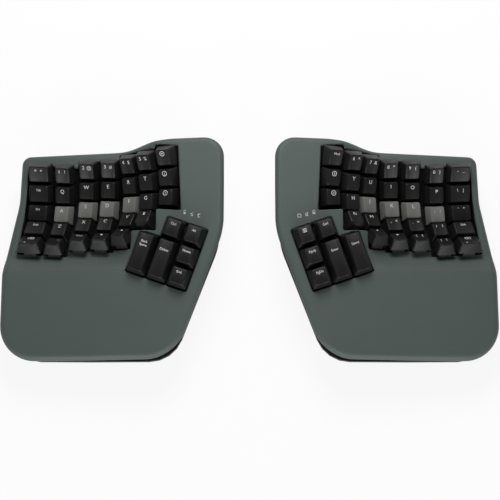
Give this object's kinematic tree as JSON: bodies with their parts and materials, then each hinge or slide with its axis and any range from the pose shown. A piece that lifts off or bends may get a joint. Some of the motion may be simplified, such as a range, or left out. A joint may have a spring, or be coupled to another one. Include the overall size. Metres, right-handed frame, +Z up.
{
  "type": "ergonomic split keyboard",
  "caption": "Ergonomic split keyboard in two tenting halves, each with a concave finger key well, a raised thumb cluster and a broad moulded palm rest.",
  "frame": {"origin": "on the desk, midway between the two halves and midway from front to rear", "axes": "+X to the user's right, +Y to the rear, +Z up"},
  "size_m": [0.434, 0.1952, 0.0744],
  "materials": {
    "case_plastic": "fine matt grain, dark grey with a green cast",
    "case_plastic_dark": "fine matt grain",
    "well_plastic": "matt black",
    "key_black": "charcoal, satin, fine texture, pale legends",
    "key_grey": "grey, satin, fine texture, pale legends",
    "switch_plastic": "plain",
    "circuit_board": "solder mask",
    "battery_foil": "foil pouch",
    "steel": "bright",
    "black_plastic": "matt black",
    "light_lens": "milky lens",
    "rubber": "matt"
  },
  "bodies": {
    "left_base": {"left_tent_base": "black_plastic", "left_hinge_pin": "steel", "left_rubber_feet": "rubber"},
    "left_case": {"left_top_case": "case_plastic", "left_bottom_case": "case_plastic_dark", "left_key_well": "well_plastic", "left_thumb_plate": "well_plastic", "left_switch_bodies": "switch_plastic", "left_circuit_boards": "circuit_board", "left_battery": "battery_foil", "left_usb_port": "steel", "left_indicator_lights": "light_lens", "left_case_screws": "steel"},
    "left_number_finger_keys": {"left_number_finger_keys": "key_black"},
    "left_upper_finger_keys": {"left_upper_finger_keys": "key_black"},
    "left_home_finger_keys": {"left_home_finger_keys": "key_grey"},
    "left_lower_finger_keys": {"left_lower_finger_keys": "key_black"},
    "left_bottom_finger_keys": {"left_bottom_finger_keys": "key_black"},
    "left_number_index_keys": {"left_number_index_keys": "key_black"},
    "left_upper_index_keys": {"left_upper_index_keys": "key_black"},
    "left_home_index_keys": {"left_home_index_keys": "key_grey"},
    "left_lower_index_keys": {"left_lower_index_keys": "key_black"},
    "left_bottom_index_key": {"left_bottom_index_key": "key_black"},
    "left_thumb_outer_long_key": {"left_thumb_outer_long_key": "key_black"},
    "left_thumb_inner_long_key": {"left_thumb_inner_long_key": "key_black"},
    "left_thumb_upper_keys": {"left_thumb_upper_keys": "key_black"},
    "left_thumb_middle_key": {"left_thumb_middle_key": "key_black"},
    "left_thumb_lower_key": {"left_thumb_lower_key": "key_black"},
    "left_power_knob": {"left_power_knob": "black_plastic"},
    "left_tent_button": {"left_tent_button": "black_plastic"},
    "right_base": {"right_tent_base": "black_plastic", "right_hinge_pin": "steel", "right_rubber_feet": "rubber"},
    "right_case": {"right_top_case": "case_plastic", "right_bottom_case": "case_plastic_dark", "right_key_well": "well_plastic", "right_thumb_plate": "well_plastic", "right_switch_bodies": "switch_plastic", "right_circuit_boards": "circuit_board", "right_battery": "battery_foil", "right_usb_port": "steel", "right_indicator_lights": "light_lens", "right_case_screws": "steel"},
    "right_number_finger_keys": {"right_number_finger_keys": "key_black"},
    "right_upper_finger_keys": {"right_upper_finger_keys": "key_black"},
    "right_home_finger_keys": {"right_home_finger_keys": "key_grey"},
    "right_lower_finger_keys": {"right_lower_finger_keys": "key_black"},
    "right_bottom_finger_keys": {"right_bottom_finger_keys": "key_black"},
    "right_number_index_keys": {"right_number_index_keys": "key_black"},
    "right_upper_index_keys": {"right_upper_index_keys": "key_black"},
    "right_home_index_keys": {"right_home_index_keys": "key_grey"},
    "right_lower_index_keys": {"right_lower_index_keys": "key_black"},
    "right_bottom_index_key": {"right_bottom_index_key": "key_black"},
    "right_thumb_outer_long_key": {"right_thumb_outer_long_key": "key_black"},
    "right_thumb_inner_long_key": {"right_thumb_inner_long_key": "key_black"},
    "right_thumb_upper_keys": {"right_thumb_upper_keys": "key_black"},
    "right_thumb_middle_key": {"right_thumb_middle_key": "key_black"},
    "right_thumb_lower_key": {"right_thumb_lower_key": "key_black"},
    "right_power_knob": {"right_power_knob": "black_plastic"},
    "right_tent_button": {"right_tent_button": "black_plastic"}
  },
  "joints": [
    {"name": "left_tent", "type": "hinge", "parent": "left_base", "child": "left_case", "pos_m": [-0.204, -0.0252, 0.005], "axis": [0, -1, 0], "range_deg": [0, 10]},
    {"name": "left_number_finger_press", "type": "slide", "parent": "left_case", "child": "left_number_finger_keys", "axis": [0.1636, 0.4876, -0.8576], "range_m": [0, 0.004], "stiffness_N_per_m": 320, "springref_m": -0.004},
    {"name": "left_upper_finger_press", "type": "slide", "parent": "left_case", "child": "left_upper_finger_keys", "axis": [0.1607, 0.3457, -0.9245], "range_m": [0, 0.004], "stiffness_N_per_m": 320, "springref_m": -0.004},
    {"name": "left_home_finger_press", "type": "slide", "parent": "left_case", "child": "left_home_finger_keys", "axis": [0.1494, 0.1266, -0.9806], "range_m": [0, 0.004], "stiffness_N_per_m": 320, "springref_m": -0.004},
    {"name": "left_lower_finger_press", "type": "slide", "parent": "left_case", "child": "left_lower_finger_keys", "axis": [0.0982, -0.3683, -0.9245], "range_m": [0, 0.004], "stiffness_N_per_m": 320, "springref_m": -0.004},
    {"name": "left_bottom_finger_press", "type": "slide", "parent": "left_case", "child": "left_bottom_finger_keys", "axis": [0.0529, -0.6364, -0.7696], "range_m": [0, 0.004], "stiffness_N_per_m": 320, "springref_m": -0.004},
    {"name": "left_number_index_press", "type": "slide", "parent": "left_case", "child": "left_number_index_keys", "axis": [0.3945, 0.4674, -0.7912], "range_m": [0, 0.004], "stiffness_N_per_m": 240, "springref_m": -0.004},
    {"name": "left_upper_index_press", "type": "slide", "parent": "left_case", "child": "left_upper_index_keys", "axis": [0.4095, 0.3239, -0.8529], "range_m": [0, 0.004], "stiffness_N_per_m": 240, "springref_m": -0.004},
    {"name": "left_home_index_press", "type": "slide", "parent": "left_case", "child": "left_home_index_keys", "axis": [0.4134, 0.1035, -0.9047], "range_m": [0, 0.004], "stiffness_N_per_m": 240, "springref_m": -0.004},
    {"name": "left_lower_index_press", "type": "slide", "parent": "left_case", "child": "left_lower_index_keys", "axis": [0.347, -0.3901, -0.8529], "range_m": [0, 0.004], "stiffness_N_per_m": 160, "springref_m": -0.004},
    {"name": "left_bottom_index_press", "type": "slide", "parent": "left_case", "child": "left_bottom_index_key", "axis": [0.26, -0.6545, -0.71], "range_m": [0, 0.004], "stiffness_N_per_m": 80, "springref_m": -0.004},
    {"name": "left_thumb_outer_long_press", "type": "slide", "parent": "left_case", "child": "left_thumb_outer_long_key", "axis": [0.1129, 0.0785, -0.9905], "range_m": [0, 0.004], "stiffness_N_per_m": 80, "springref_m": -0.004},
    {"name": "left_thumb_inner_long_press", "type": "slide", "parent": "left_case", "child": "left_thumb_inner_long_key", "axis": [0.1129, 0.0785, -0.9905], "range_m": [0, 0.004], "stiffness_N_per_m": 80, "springref_m": -0.004},
    {"name": "left_thumb_upper_press", "type": "slide", "parent": "left_case", "child": "left_thumb_upper_keys", "axis": [0.1129, 0.0785, -0.9905], "range_m": [0, 0.004], "stiffness_N_per_m": 160, "springref_m": -0.004},
    {"name": "left_thumb_middle_press", "type": "slide", "parent": "left_case", "child": "left_thumb_middle_key", "axis": [0.1129, 0.0785, -0.9905], "range_m": [0, 0.004], "stiffness_N_per_m": 80, "springref_m": -0.004},
    {"name": "left_thumb_lower_press", "type": "slide", "parent": "left_case", "child": "left_thumb_lower_key", "axis": [0.1129, 0.0785, -0.9905], "range_m": [0, 0.004], "stiffness_N_per_m": 80, "springref_m": -0.004},
    {"name": "left_power_slide", "type": "slide", "parent": "left_case", "child": "left_power_knob", "axis": [-1, 0, 0], "range_m": [0, 0.003]},
    {"name": "left_tent_release", "type": "slide", "parent": "left_case", "child": "left_tent_button", "axis": [-1, 0, 0], "range_m": [0, 0.0025], "stiffness_N_per_m": 400, "springref_m": -0.002},
    {"name": "halves_spread", "type": "slide", "parent": "left_base", "child": "right_base", "axis": [1, 0, 0], "range_m": [-0.04, 0.12]},
    {"name": "right_tent", "type": "hinge", "parent": "right_base", "child": "right_case", "pos_m": [0.204, -0.0252, 0.005], "axis": [0, 1, 0], "range_deg": [0, 10]},
    {"name": "right_number_finger_press", "type": "slide", "parent": "right_case", "child": "right_number_finger_keys", "axis": [-0.1636, 0.4876, -0.8576], "range_m": [0, 0.004], "stiffness_N_per_m": 320, "springref_m": -0.004},
    {"name": "right_upper_finger_press", "type": "slide", "parent": "right_case", "child": "right_upper_finger_keys", "axis": [-0.1607, 0.3457, -0.9245], "range_m": [0, 0.004], "stiffness_N_per_m": 320, "springref_m": -0.004},
    {"name": "right_home_finger_press", "type": "slide", "parent": "right_case", "child": "right_home_finger_keys", "axis": [-0.1494, 0.1266, -0.9806], "range_m": [0, 0.004], "stiffness_N_per_m": 320, "springref_m": -0.004},
    {"name": "right_lower_finger_press", "type": "slide", "parent": "right_case", "child": "right_lower_finger_keys", "axis": [-0.0982, -0.3683, -0.9245], "range_m": [0, 0.004], "stiffness_N_per_m": 320, "springref_m": -0.004},
    {"name": "right_bottom_finger_press", "type": "slide", "parent": "right_case", "child": "right_bottom_finger_keys", "axis": [-0.0529, -0.6364, -0.7696], "range_m": [0, 0.004], "stiffness_N_per_m": 320, "springref_m": -0.004},
    {"name": "right_number_index_press", "type": "slide", "parent": "right_case", "child": "right_number_index_keys", "axis": [-0.3945, 0.4674, -0.7912], "range_m": [0, 0.004], "stiffness_N_per_m": 240, "springref_m": -0.004},
    {"name": "right_upper_index_press", "type": "slide", "parent": "right_case", "child": "right_upper_index_keys", "axis": [-0.4095, 0.3239, -0.8529], "range_m": [0, 0.004], "stiffness_N_per_m": 240, "springref_m": -0.004},
    {"name": "right_home_index_press", "type": "slide", "parent": "right_case", "child": "right_home_index_keys", "axis": [-0.4134, 0.1035, -0.9047], "range_m": [0, 0.004], "stiffness_N_per_m": 240, "springref_m": -0.004},
    {"name": "right_lower_index_press", "type": "slide", "parent": "right_case", "child": "right_lower_index_keys", "axis": [-0.347, -0.3901, -0.8529], "range_m": [0, 0.004], "stiffness_N_per_m": 160, "springref_m": -0.004},
    {"name": "right_bottom_index_press", "type": "slide", "parent": "right_case", "child": "right_bottom_index_key", "axis": [-0.26, -0.6545, -0.71], "range_m": [0, 0.004], "stiffness_N_per_m": 80, "springref_m": -0.004},
    {"name": "right_thumb_outer_long_press", "type": "slide", "parent": "right_case", "child": "right_thumb_outer_long_key", "axis": [-0.1129, 0.0785, -0.9905], "range_m": [0, 0.004], "stiffness_N_per_m": 80, "springref_m": -0.004},
    {"name": "right_thumb_inner_long_press", "type": "slide", "parent": "right_case", "child": "right_thumb_inner_long_key", "axis": [-0.1129, 0.0785, -0.9905], "range_m": [0, 0.004], "stiffness_N_per_m": 80, "springref_m": -0.004},
    {"name": "right_thumb_upper_press", "type": "slide", "parent": "right_case", "child": "right_thumb_upper_keys", "axis": [-0.1129, 0.0785, -0.9905], "range_m": [0, 0.004], "stiffness_N_per_m": 160, "springref_m": -0.004},
    {"name": "right_thumb_middle_press", "type": "slide", "parent": "right_case", "child": "right_thumb_middle_key", "axis": [-0.1129, 0.0785, -0.9905], "range_m": [0, 0.004], "stiffness_N_per_m": 80, "springref_m": -0.004},
    {"name": "right_thumb_lower_press", "type": "slide", "parent": "right_case", "child": "right_thumb_lower_key", "axis": [-0.1129, 0.0785, -0.9905], "range_m": [0, 0.004], "stiffness_N_per_m": 80, "springref_m": -0.004},
    {"name": "right_power_slide", "type": "slide", "parent": "right_case", "child": "right_power_knob", "axis": [1, 0, 0], "range_m": [0, 0.003]},
    {"name": "right_tent_release", "type": "slide", "parent": "right_case", "child": "right_tent_button", "axis": [1, 0, 0], "range_m": [0, 0.0025], "stiffness_N_per_m": 400, "springref_m": -0.002}
  ]
}
